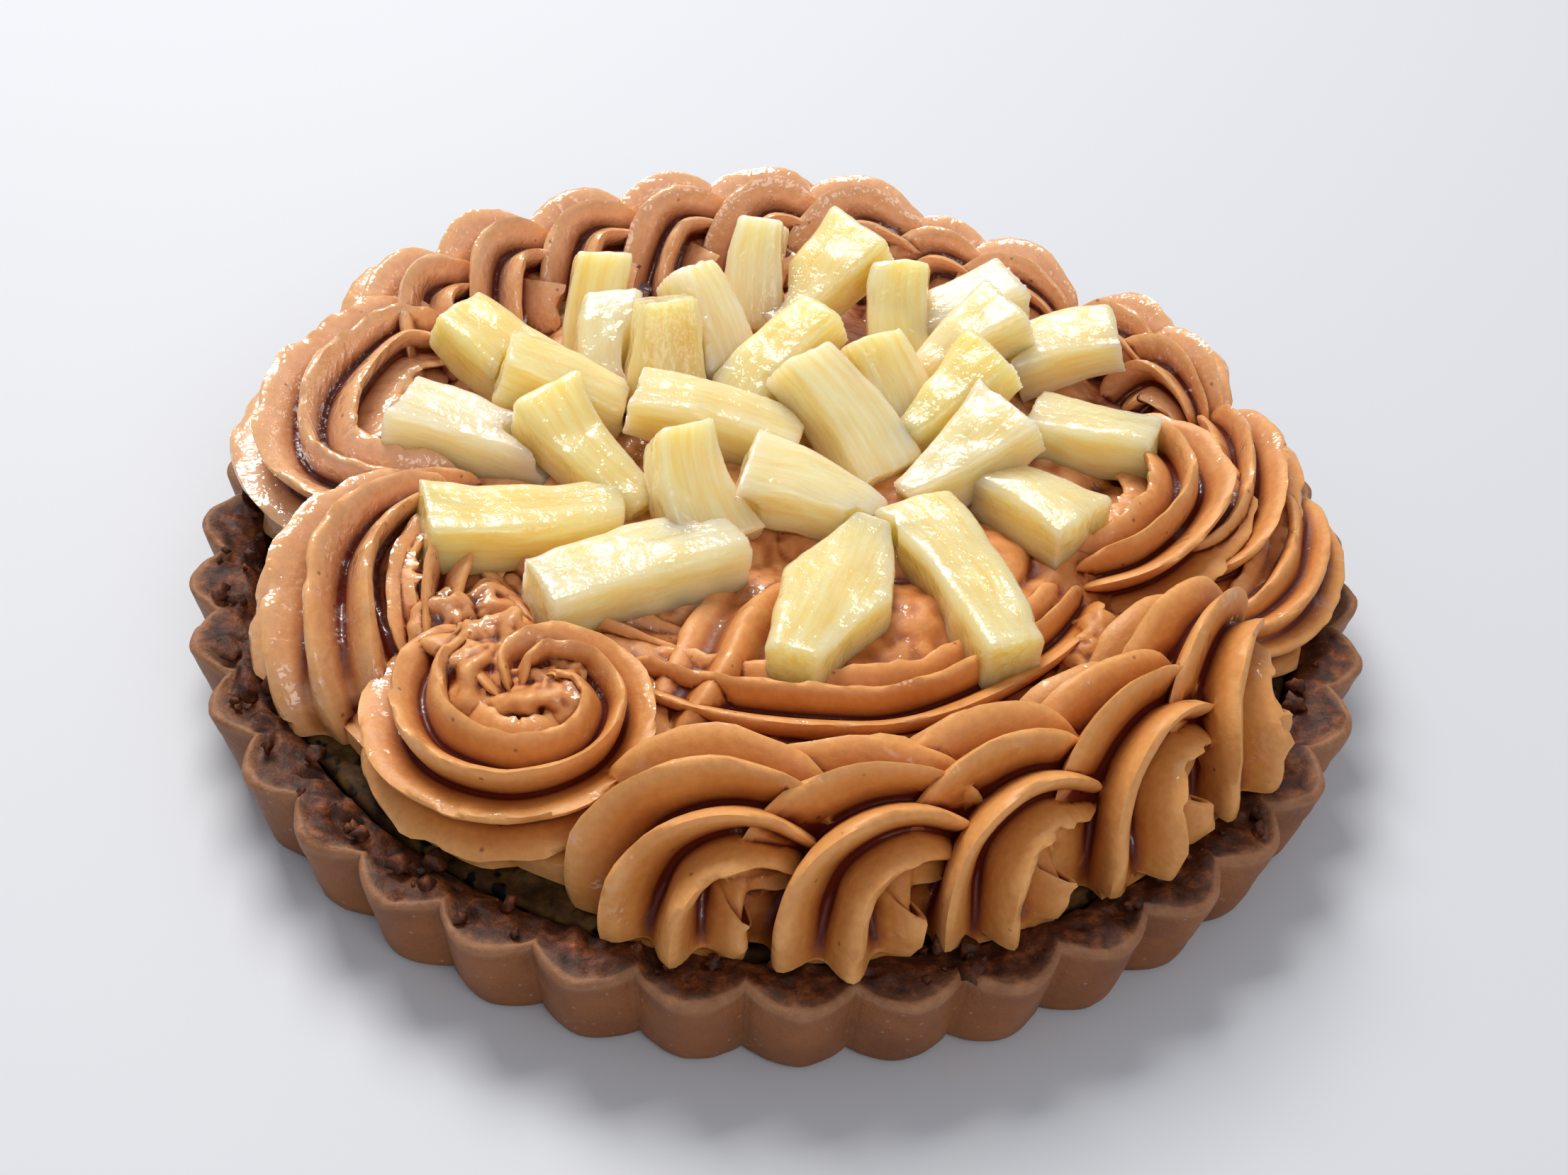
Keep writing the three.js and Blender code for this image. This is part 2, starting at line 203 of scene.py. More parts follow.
def crust_rows():
    """Rings of the crust from the base, up the flutes, over the rim and down the inside.

    With each point comes its share of broken rim and of paler edge."""
    steps = FLUTES * FLUTE_STEPS
    turn = np.arange(steps) / steps * 2 * math.pi
    angle = turn + math.radians(FRONT_CREST)
    arch = np.abs(np.cos(FLUTES * turn / 2)) ** CREST_FULLNESS
    wave = 0.5 + 0.5 * np.cos(FLUTES * turn)
    flute = 1 - arch - (wave - arch) * VALLEY_ROUNDING
    around = np.stack([np.cos(angle), np.sin(angle)], 1)

    def ring(radius, height):
        return np.column_stack([around * np.reshape(radius, (-1, 1)), np.broadcast_to(height, steps)])

    def outside(height, inset):
        rise = height / CRUST_HEIGHT
        crest = BASE_RADIUS + (RIM_RADIUS - BASE_RADIUS) * rise - inset
        depth = BASE_FLUTE_DEPTH + (FLUTE_DEPTH - BASE_FLUTE_DEPTH) * rise
        return crest - depth * flute

    rings = [(ring(outside(0, BASE_EDGE_ROUND), 0), 0, 0)]
    for bend in np.linspace(FIRST_BEND, 1, BASE_EDGE_RINGS) * math.pi / 2:
        height = BASE_EDGE_ROUND * (1 - math.cos(bend))
        inset = BASE_EDGE_ROUND * (1 - math.sin(bend))
        rings.append((ring(outside(height, inset), height), 0, 0))
    for height in np.linspace(BASE_EDGE_ROUND, CRUST_HEIGHT - RIM_EDGE_ROUND, WALL_RINGS)[1:]:
        pale = max(0, 1 - (CRUST_HEIGHT - height) / PALE_WALL)
        rings.append((ring(outside(height, 0), height), 0, pale))
    for bend in np.linspace(FIRST_BEND, 1, RIM_EDGE_RINGS) * math.pi / 2:
        height = CRUST_HEIGHT - RIM_EDGE_ROUND * (1 - math.sin(bend))
        inset = RIM_EDGE_ROUND * (1 - math.cos(bend))
        rings.append((ring(outside(height, inset), height), BROKEN_EDGE * bend, 1))
    outer = outside(CRUST_HEIGHT, RIM_EDGE_ROUND)
    waves = layered(ring(RIM_INNER_RADIUS, 0), INNER_EDGE_WAVES)
    inner = RIM_INNER_RADIUS + waves - INNER_EDGE_INSET
    for across in np.linspace(0, 1, RIM_RINGS)[1:]:
        height = CRUST_HEIGHT - RIM_DIP * across ** 2
        pale = max(0, PALE_RIM - PALE_RIM_FADE * across)
        rings.append((ring(outer + (inner - outer) * across, height), 1, pale))
    for height in np.linspace(CRUST_HEIGHT - RIM_DIP - INNER_EDGE_ROUND, CRUST_FLOOR, INSIDE_RINGS):
        share = (height - CRUST_FLOOR) / (CRUST_HEIGHT - CRUST_FLOOR)
        radius = FLOOR_RADIUS + (RIM_INNER_RADIUS - INNER_EDGE_ROUND - FLOOR_RADIUS) * share
        rings.append((ring(radius, height), 1, 0))
    rows, broken, edge = zip(*rings)
    return np.array(rows), np.repeat(broken, steps), np.repeat(edge, steps)


def crumble(rows, broken):
    """Breaks the rim into crumbs, most of all at the left, and leaves the tin-smooth wall almost flat."""
    flat = rows.reshape(-1, 3)
    outward = flat * [1, 1, 0] / np.linalg.norm(flat[:, :2], axis=1)[:, None]
    left = 1 + np.clip(-flat[:, 0] / RIM_RADIUS, 0, 1)
    wall = layered(flat, WALL_WAVES) - pits(flat, *WALL_PITS)
    crumb = layered(flat, RIM_CRUMBS)
    rim = np.clip(broken, 0, 1) * (flat[:, 2] > CRUST_FLOOR + LEVEL_MARGIN)
    moved = flat + outward * (wall * (flat[:, 2] > FLAT_BASE) + RIM_SPREAD * rim * crumb * left)[:, None]
    moved[:, 2] += rim * (crumb - pits(flat, *RIM_PITS)) * left
    return moved.reshape(rows.shape)


# Baked shortcrust with cocoa: milk-chocolate brown and satin where the tin pressed it, with fine pale
# specks, and almost black-brown, moist and rough where it is broken.
def shortcrust():
    material, tree = new_material("cocoa_shortcrust")
    place = add(tree, "NewGeometry")
    broken = add(tree, "Attribute", out="Fac", attribute_name="broken")
    edge = add(tree, "Attribute", out="Fac", attribute_name="edge")
    height = add(tree, "SeparateXYZ", {"Vector": place}, out="Z")
    grain = add(tree, "TexNoise", {"Vector": place, "Scale": 1 / (1.6 * MM), "Detail": 6, "Roughness": 0.65})
    patch = add(tree, "TexNoise", {"Vector": place, "Scale": 1 / (9 * MM), "Detail": 4})
    speck = add(tree, "TexVoronoi", {"Vector": place, "Scale": 1 / (1.5 * MM)})
    wall = add(tree, "ValToRGB", {"Fac": patch}, [(0.32, "#76421c"), (0.68, "#965a2a")])
    flour = add(tree, "ValToRGB", {"Fac": speck}, [(0.06, "#b79a88"), (0.16, "#000000")])
    dusted = add(tree, "Mix", {"Factor": 0.5, COLOUR_A: wall, COLOUR_B: flour}, out=MIXED,
                 data_type="RGBA", blend_type="LIGHTEN")
    # Painted shade: the wall is darkened towards its foot, over its lowest 1.6 mm, where the crust meets the
    # floor.
    foot = add(tree, "MapRange", {"Value": height, "From Max": 1.6 * MM, "To Min": 0.55})
    foot_shaded = add(tree, "Mix", {"Factor": 1, COLOUR_A: dusted, COLOUR_B: foot}, out=MIXED,
                 data_type="RGBA", blend_type="MULTIPLY")
    crumb = add(tree, "ValToRGB", {"Fac": grain},
                [(0.34, "#220a00"), (0.52, "#52240a"), (0.68, "#84461c"), (0.8, "#a8683c")])
    colour = add(tree, "Mix", {"Factor": broken, COLOUR_A: foot_shaded, COLOUR_B: crumb}, out=MIXED,
                 data_type="RGBA")
    pale = add(tree, "Math", {0: edge, 1: grain}, operation="MULTIPLY")
    lined = add(tree, "Mix", {"Factor": pale, COLOUR_A: colour, COLOUR_B: lin("#a87a58")}, out=MIXED,
                data_type="RGBA")
    rough = add(tree, "MapRange", {"Value": broken, "To Min": 0.5, "To Max": 0.58})
    bump = add(tree, "Bump", {"Height": grain, "Strength": 0.6, "Distance": 0.6 * MM})
    shader = add(tree, "BsdfPrincipled", {
        "Base Color": lined, "Roughness": rough, "Normal": bump, "IOR": 1.45})
    add(tree, "OutputMaterial", {"Surface": shader})
    return material


crust_shape, crust_broken, crust_edge = crust_rows()
crust = mesh_object("crust", *lofted(crumble(crust_shape, crust_broken)))
store(crust.data, "broken", np.append(crust_broken, [0, 1]))
store(crust.data, "edge", np.append(crust_edge, [0, 0]))
crust.data.shade_smooth()
cocoa_shortcrust = shortcrust()
settle(crust, cocoa_shortcrust, ["tart_shell"])


# Crumbs: bits of cocoa shortcrust that came loose where the rim was broken level. They lie scattered
# over the rim and in the gap beside the cream, each sunk a little into what it lies on.
CRUMB_COUNT = 170
CRUMB_SIZES = (0.3, 1)
CRUMB_SMALLNESS = 1.6
CRUMB_PROPORTIONS = (0.7, 1.2)
CRUMB_RADII = (RIM_INNER_RADIUS - 1, RIM_RADIUS - 2.6)
CRUMB_SINK = 0.2
CRUMB_RISE = 0.4
CRUMB_LUMPS = (0.6, 0.8, 61)
CRUMB_VARIETY = 9
CRUMB_SEED = 7


def crumb_field():
    """Lumpy balls of uneven size, each sunk a little into the rim."""
    ball = bmesh.new()
    bmesh.ops.create_icosphere(ball, subdivisions=2, radius=1)
    ball.verts.index_update()
    base = np.array([vertex.co[:] for vertex in ball.verts])
    skin = np.array([[vertex.index for vertex in face.verts] for face in ball.faces])
    ball.free()
    dice = np.random.default_rng(CRUMB_SEED)
    points, faces = [], []
    for k in range(CRUMB_COUNT):
        size = dice.uniform(*CRUMB_SIZES) ** CRUMB_SMALLNESS
        turn = dice.uniform(0, 2 * math.pi)
        radius = dice.uniform(*CRUMB_RADII)
        lumps = 1 + layered(base + CRUMB_VARIETY * k, [CRUMB_LUMPS])
        shape = base * size * dice.uniform(*CRUMB_PROPORTIONS, 3) * lumps[:, None]
        height = CRUST_HEIGHT - CRUMB_SINK + CRUMB_RISE * size
        points.append(shape + (radius * math.cos(turn), radius * math.sin(turn), height))
        faces.append(skin + k * len(base))
    return np.vstack(points), np.vstack(faces).tolist()


crumbs = mesh_object("crumbs", *crumb_field())
store(crumbs.data, "broken", np.ones(len(crumbs.data.vertices)))
crumbs.data.shade_smooth()
settle(crumbs, cocoa_shortcrust, [])


# Filling: a baked sweet potato custard poured into the case, mottled olive brown with black spots of painted
# shade for small holes, a little sunken and lumpy where it shows between the cream and the rim.
GAP = 0.3
FILLING_TOP = 9.2
FILLING_STEPS = 240
FILLING_RINGS = 40
# Points of the rounded edge: distance in from the case and down from the top
FILLING_EDGE = [(0.8, 0.6), (1.2, 0)]
FILLING_TOP_INSET = 1.6
FILLING_INNER_RADIUS = 30
FILLING_LUMPS = [(3, 0.5, 21), (1.2, 0.3, 22)]
FILLING_SINK = 0.1


def turned_rows(profile, steps):
    """Rings of a solid of revolution."""
    angle = np.arange(steps) / steps * 2 * math.pi
    around = np.stack([np.cos(angle), np.sin(angle)], 1)
    rows = [np.column_stack([around * radius, np.full(steps, height)]) for radius, height in profile]
    return np.array(rows)


def filling_rows():
    """Rings of the filling from its underside, up the case and in over its lumpy top."""
    slope = (RIM_INNER_RADIUS - FLOOR_RADIUS) / (CRUST_HEIGHT - CRUST_FLOOR)
    radius = FLOOR_RADIUS + slope * (FILLING_TOP - CRUST_FLOOR) - GAP
    profile = [(FLOOR_RADIUS - GAP, CRUST_FLOOR + GAP)]
    profile += [(radius - inset, FILLING_TOP - drop) for inset, drop in FILLING_EDGE]
    inwards = np.linspace(radius - FILLING_TOP_INSET, FILLING_INNER_RADIUS, FILLING_RINGS)
    profile += [(reach, FILLING_TOP) for reach in inwards]
    rows = turned_rows(profile, FILLING_STEPS)
    flat = rows.reshape(-1, 3)
    top = flat[:, 2] > FILLING_TOP - LEVEL_MARGIN
    flat[:, 2] += top * (layered(flat, FILLING_LUMPS) - FILLING_SINK)
    return rows


# Baked custard: dark olive brown with ochre patches, matt and grainy, with black spots of painted shade for
# small holes.
def custard():
    material, tree = new_material("baked_custard")
    place = add(tree, "NewGeometry")
    patch = add(tree, "TexNoise", {"Vector": place, "Scale": 1 / (4 * MM), "Detail": 5, "Roughness": 0.6})
    # Painted shade: black spots where small holes would lie in shade.
    hole_shade = add(tree, "TexNoise", {"Vector": place, "Scale": 1 / (1.8 * MM), "Detail": 2})
    body = add(tree, "ValToRGB", {"Fac": patch}, [(0.32, "#1a0d03"), (0.5, "#4a3014"), (0.7, "#7c5c2c")])
    dark = add(tree, "ValToRGB", {"Fac": hole_shade}, [(0.36, "#140c07"), (0.44, "#ffffff")])
    colour = add(tree, "Mix", {"Factor": 1, COLOUR_A: body, COLOUR_B: dark}, out=MIXED,
                 data_type="RGBA", blend_type="MULTIPLY")
    bump = add(tree, "Bump", {"Height": patch, "Strength": 0.5, "Distance": 0.6 * MM})
    shader = add(tree, "BsdfPrincipled", {
        "Base Color": colour, "Roughness": 0.7, "Normal": bump, "IOR": 1.3})
    add(tree, "OutputMaterial", {"Surface": shader})
    return material


filling = mesh_object("baked_filling", *lofted(filling_rows()))
filling.data.shade_smooth()
settle(filling, custard(), ["filling"])


# Cream: sweet potato cream piped through a ten-pointed star tip over a low mound. Each stroke leaves
# thin fins with ragged edges and wide smooth grooves between them, and each shell of the rope border
# covers the tail of the one before.
FINS = 10
GROOVE = 0.5
FIN_SHARPNESS = 1.2
FIN_POINTS = 12
RING_STEP = 0.68
CURVE_STEPS = 40
THINNEST_STRAND = 1
FOOT_TOP = 13.5
FOOT_RISE = 4
FOOT_FILL = 0.32
END_ROUND = 0.8
# Ragged fins and slow swelling of a strand: size along it and share of its radius
RAGGED_SIZE = 1.4
RAGGED_SHARE = 0.18
RAGGED_SEED = 31
SWELL_SIZE = 6
SWELL_SHARE = 0.08
SWELL_SEED = 32
FIN_VARIETY = 9.0
STROKE_VARIETY = 7.0
# The mound under the strokes
MOUND_RADIUS = 50
MOUND_SHOULDER = 40
MOUND_CROWN = 28
MOUND_EDGE_TOP = 11.6
MOUND_SHOULDER_TOP = 15
MOUND_TOP = 16.2
MOUND_FOOT_INSET = 2
MOUND_FOOT_ROUND = 0.6
MOUND_FOOT = 1
MOUND_STEPS = 290
MOUND_RINGS = 100
FOLD_HEIGHT = 1.8
FOLD_SIZE = 9
FOLD_SEED = 41
FOLD_STRETCH = (1, 1, 0.2)
FOLD_SINK = 0.6
MOUND_LUMPS = [(2.4, 0.25, 42), (1.1, 0.12, 43)]
INNERMOST_RADIUS = 1
CREAM_CEILING = 40
ROOM_STEPS = 96
# Shells of the rope border: distance along, distance out, height and strand radius of each control point
FRONT_SHELL = [(-5.5, 3, 4, 7.5), (-6.5, 2.5, 11.5, 10.4), (-5, 1.5, 16, 9.6),
               (-0.5, 1.5, 17.8, 7), (5.5, 3, 15.5, 4)]
FRONT_ANGLES = (-89.5, -74, -59.5, -42, -26)
FRONT_BORDER = 43.5
BACK_SHELL = [(-5, -4, 7, 7), (-4.5, -2, 13, 8.8), (-2, 0.5, 16, 8.6), (2, 0.5, 16, 5.5), (6, 0, 14, 3)]
BACK_ANGLES = (143, 130, 117, 104, 91.5, 79)
BACK_BORDER = 50.5
SIDE_SHELL = [(-4, -3, 8, 5), (-3.5, -1, 12.5, 6.8), (-1.5, 0.5, 14.6, 6.8),
              (2, 0.5, 14.5, 4.6), (5, 0, 12.5, 3)]
SIDE_ANGLES = (68, 57, 39, 30)
SIDE_BORDER = 50
# The rosette, a spiral: its pairs of values are those of the outer and the inner end
ROSETTE_CENTRE = (-20.5, -33)
ROSETTE_START = 120
ROSETTE_SWEEP = 430
ROSETTE_STEPS = 9
ROSETTE_REACH = (10.6, 2.2)
ROSETTE_HEIGHTS = (12.5, 17.5)
ROSETTE_STRANDS = (7.4, 5)
# Single strokes: x, y, height and strand radius of each control point
STROKES = [
    # Two strokes side by side at the left of the rosette
    [(-37, -27, 4, 7), (-40, -22.5, 11, 8.8), (-41, -15, 14.8, 8.6), (-38, -8, 16, 6.4),
     (-33, -3.5, 14.5, 4)],
    [(-32, -26, 12.5, 5), (-33, -15, 14.5, 6.5), (-30, -4, 14.5, 5.5)],
    # Open loop at the left
    [(-38, 24, 15, 5), (-45, 20, 16, 7), (-49, 9, 14.5, 8.5), (-47, 1, 13, 8), (-39, -2, 13, 7),
     (-31, 1, 13, 5.5)],
    # Three arcs at the right, one outside the other
    [(34, 14, 14.5, 5), (40, 9, 15.5, 6.5), (41, 1, 15.5, 7), (36, -6, 14.5, 6.5), (29, -8, 13, 5)],
    [(46.5, 21, 13, 4.5), (48.5, 13.5, 13.5, 6.2), (47.5, 4, 13.5, 6.6), (44, -3, 13, 6),
     (38, -5, 12.5, 4.5)],
    [(52, 11, 9, 4.5), (53, 3, 10.5, 6), (51, -5, 11, 6.2), (47.5, -10, 11, 5.6), (43, -12, 11, 4)],
    # Inner strokes that the fruit leans on
    [(-14, -25, 12.5, 5), (-2, -30, 13.2, 6.5), (12, -29, 13.2, 6.5), (24, -20, 13, 6), (30, -10, 12.5, 5)],
    [(-30, 2, 11, 5), (-27, -10, 11.6, 6.5), (-18, -20, 11.6, 6.5), (-6, -24, 11, 5)],
    [(-9, -36, 9, 7), (-4.5, -28, 9.6, 9), (-2, -19, 9.6, 9), (2, -10, 9, 7)],
]
# Torn lumps where the cream was smeared: x, y, height of the middle and radius
TORN_LUMPS = [(-25.5, -27, 15.6, 6.2), (-20.5, -31, 16.6, 5), (-29.5, -20.5, 13.4, 5.8), (31, -20, 12.5, 6)]
TORN_RINGS = 48
TORN_STEPS = 96
TORN_POLE = 0.47
TORN_FLATNESS = 0.8
TORN_NOISE = [(3.2, 0.35, 45), (1.4, 0.16, 46), (0.7, 0.06, 47)]
# How a point's lip is told: rounds of smoothing and gain
LIP_ROUNDS = 2
LIP_GAIN = 3
CREASE = 60


def shell(points, angle, border, way):
    """Control points of a border shell at a tart angle, piped anticlockwise or, with way -1, clockwise."""
    across, up = math.cos(math.radians(angle)), math.sin(math.radians(angle))
    placed = []
    for along, out, height, thick in points:
        x = (border + out) * across - way * along * up
        y = (border + out) * up + way * along * across
        placed.append((x, y, height, thick))
    return placed


def rosette():
    """Control points of a spiral that climbs to its middle."""
    part = np.linspace(0, 1, ROSETTE_STEPS + 1)
    reach, height, thick = (first + (last - first) * part
                            for first, last in (ROSETTE_REACH, ROSETTE_HEIGHTS, ROSETTE_STRANDS))
    angle = np.radians(ROSETTE_START + ROSETTE_SWEEP * part)
    x = ROSETTE_CENTRE[0] + reach * np.cos(angle)
    y = ROSETTE_CENTRE[1] + reach * np.sin(angle)
    return np.column_stack([x, y, height, thick])


def piped_strokes():
    """All strokes of the piping bag, each a run of control points."""
    strokes = [shell(FRONT_SHELL, angle, FRONT_BORDER, 1) for angle in FRONT_ANGLES]
    strokes += [shell(BACK_SHELL, angle, BACK_BORDER, -1) for angle in BACK_ANGLES]
    strokes += [shell(SIDE_SHELL, angle, SIDE_BORDER, -1) for angle in SIDE_ANGLES]
    return strokes + [rosette()] + STROKES


def smooth_run(points, step):
    """An even run of points along a curve through control points, and their distances along it."""
    points = np.asarray(points, float)
    padded = np.vstack([2 * points[0] - points[1], points, 2 * points[-1] - points[-2]])
    t = np.linspace(0, 1, CURVE_STEPS, endpoint=False)[:, None]
    pieces = []
    for a, b, c, d in zip(padded, padded[1:], padded[2:], padded[3:]):
        pieces.append(0.5 * (2 * b + (c - a) * t + (2 * a - 5 * b + 4 * c - d) * t ** 2
                             + (3 * b - a - 3 * c + d) * t ** 3))
    run = np.vstack(pieces + [points[-1:]])
    distance = np.append(0, np.linalg.norm(np.diff(run[:, :3], axis=0), axis=1).cumsum())
    even = np.linspace(0, distance[-1], int(distance[-1] / step) + 2)
    return np.column_stack([np.interp(even, distance, column) for column in run.T]), even


def strand_rows(stroke, seed):
    """Rings of one strand: the star carried along the stroke without twist and rounded off at both ends."""
    run, distance = smooth_run(stroke, RING_STEP)
    middle, thick = run[:, :3], np.maximum(run[:, 3], THINNEST_STRAND)
    ahead = np.gradient(middle, axis=0)
    ahead /= np.linalg.norm(ahead, axis=1)[:, None]
    side = np.empty_like(ahead)
    last = np.cross(ahead[0], [0, 0, 1])
    for k, direction in enumerate(ahead):
        last = last - direction * (last @ direction)
        last = last / np.linalg.norm(last)
        side[k] = last
    up = np.cross(side, ahead)
    count = FINS * FIN_POINTS
    angle = np.arange(count) / count * 2 * math.pi
    fin = (0.5 + 0.5 * np.cos(FINS * angle)) ** FIN_SHARPNESS
    from_end = np.minimum(distance, distance[-1] - distance)
    rounding = np.clip(1 - (from_end + GAP) / (END_ROUND * thick), 0, 1)
    radius = thick * np.sqrt(1 - rounding ** 2)
    rings = len(run)
    along = np.repeat(distance, count)
    which_fin = np.tile(np.arange(count) // FIN_POINTS * FIN_VARIETY, rings)
    spot = np.column_stack([along, which_fin, np.full(rings * count, seed * STROKE_VARIETY)])
    ragged = relief(spot, RAGGED_SIZE, RAGGED_SEED).reshape(rings, -1)
    spot = np.column_stack([along, np.tile(np.cos(angle) * SWELL_SIZE, rings),
                            np.tile(np.sin(angle) * SWELL_SIZE, rings)])
    swell = relief(spot, SWELL_SIZE, SWELL_SEED + seed).reshape(rings, -1)
    foot = np.clip((FOOT_TOP - middle[:, 2]) / FOOT_RISE, 0, 1)[:, None]
    groove = GROOVE + FOOT_FILL * foot
    shape = groove + (1 - groove) * fin * (1 + RAGGED_SHARE * ragged * fin ** 2) + SWELL_SHARE * swell
    reach = radius[:, None] * shape
    return (middle[:, None] + up[:, None] * (reach * np.cos(angle))[..., None]
            + side[:, None] * (reach * np.sin(angle))[..., None])


def mound_rows():
    """The mound that the strokes are piped over, a little uneven."""
    low = FILLING_TOP + GAP
    profile = [(MOUND_RADIUS - MOUND_FOOT_INSET, low), (MOUND_RADIUS, low + MOUND_FOOT_ROUND)]
    for radius in np.linspace(MOUND_RADIUS, INNERMOST_RADIUS, MOUND_RINGS):
        height = np.interp(radius, [0, MOUND_CROWN, MOUND_SHOULDER, MOUND_RADIUS],
                           [MOUND_TOP, MOUND_TOP, MOUND_SHOULDER_TOP, MOUND_EDGE_TOP])
        profile.append((radius, height))
    rows = turned_rows(profile, MOUND_STEPS)
    flat = rows.reshape(-1, 3)
    folds = FOLD_HEIGHT * np.abs(relief(flat * FOLD_STRETCH, FOLD_SIZE, FOLD_SEED))
    for size, height, seed in MOUND_LUMPS:
        folds += height * relief(flat, size, seed)
    flat[:, 2] += (flat[:, 2] > low + MOUND_FOOT) * (folds - FOLD_SINK)
    return rows


def torn_rows(x, y, height, size):
    """Rings of a ragged lump."""
    bend = np.linspace(-TORN_POLE, TORN_POLE, TORN_RINGS) * math.pi
    ball = turned_rows(np.column_stack([np.cos(bend), TORN_FLATNESS * np.sin(bend)]), TORN_STEPS)
    flat = ball.reshape(-1, 3)
    ragged = layered(flat * size + (x, y, height), TORN_NOISE)
    return (flat * size * (1 + ragged)[:, None] + (x, y, height)).reshape(ball.shape)


def room_rows():
    """The room that the cream may take: above the filling, inside the rim, and above the rim's top."""
    low = FILLING_TOP + GAP
    over_rim = CRUST_HEIGHT + GAP
    inside = RIM_INNER_RADIUS - 2 * GAP
    profile = [(INNERMOST_RADIUS, low), (inside, low), (inside, over_rim), (RIM_RADIUS, over_rim),
               (RIM_RADIUS, CREAM_CEILING), (INNERMOST_RADIUS, CREAM_CEILING)]
    return turned_rows(profile, ROOM_STEPS)


def with_modifiers(piece):
    """The mesh that a piece's modifiers give, which then takes their place."""
    bpy.context.view_layer.update()
    mesh = bpy.data.meshes.new_from_object(piece.evaluated_get(bpy.context.evaluated_depsgraph_get()))
    piece.modifiers.clear()
    old = piece.data
    piece.data = mesh
    bpy.data.meshes.remove(old)
    return mesh


def joined(base, others, operation):
    """The union, or the common part, of a solid with others, which are used up."""
    group = bpy.data.collections.new("tools")
    bpy.context.scene.collection.children.link(group)
    for other in others:
        bpy.context.scene.collection.objects.unlink(other)
        group.objects.link(other)
    cut = base.modifiers.new("join", "BOOLEAN")
    cut.operation = operation
    cut.operand_type = "COLLECTION"
    cut.collection = group
    cut.solver = "MANIFOLD"
    with_modifiers(base)
    for other in others:
        bpy.data.objects.remove(other)
    bpy.data.collections.remove(group)


def keep_largest(mesh):
    """Drops the sealed hollows and loose slivers that joining the strands leaves."""
    body = bmesh.new()
    body.from_mesh(mesh)
    unseen = set(body.verts)
    groups = []
    while unseen:
        front = [unseen.pop()]
        group = []
        while front:
            vertex = front.pop()
            group.append(vertex)
            for edge in vertex.link_edges:
                other = edge.other_vert(vertex)
                if other in unseen:
                    unseen.discard(other)
                    front.append(other)
        groups.append(group)
    groups.sort(key=len)
    bmesh.ops.delete(body, geom=[vertex for group in groups[:-1] for vertex in group], context="VERTS")
    body.to_mesh(mesh)
    body.free()


def point_values(mesh, name):
    """Places or normals of a mesh's points, one row each."""
    values = np.empty(len(mesh.vertices) * 3)
    mesh.vertices.foreach_get(name, values)
    return values.reshape(-1, 3)


def lips(mesh):
    """How far each point stands out from its neighbours, from 0 deep in a groove to 1 on a thin lip."""
    place, normal = point_values(mesh, "co"), point_values(mesh, "normal")
    count = len(place)
    ends = np.empty(len(mesh.edges) * 2, np.int64)
    mesh.edges.foreach_get("vertices", ends)
    ends = ends.reshape(-1, 2)
    near, far = np.vstack([ends, ends[:, ::-1]]).T
    step = place[far] - place[near]
    drop = -np.einsum("ij,ij->i", step, normal[near]) / np.maximum(np.linalg.norm(step, axis=1), 1e-9)
    shares = np.maximum(np.bincount(near, minlength=count), 1)
    lip = np.bincount(near, drop, count) / shares
    for _ in range(LIP_ROUNDS):
        lip = 0.5 * lip + 0.5 * np.bincount(near, lip[far], count) / shares
    return np.clip(0.5 + LIP_GAIN * lip, 0, 1)
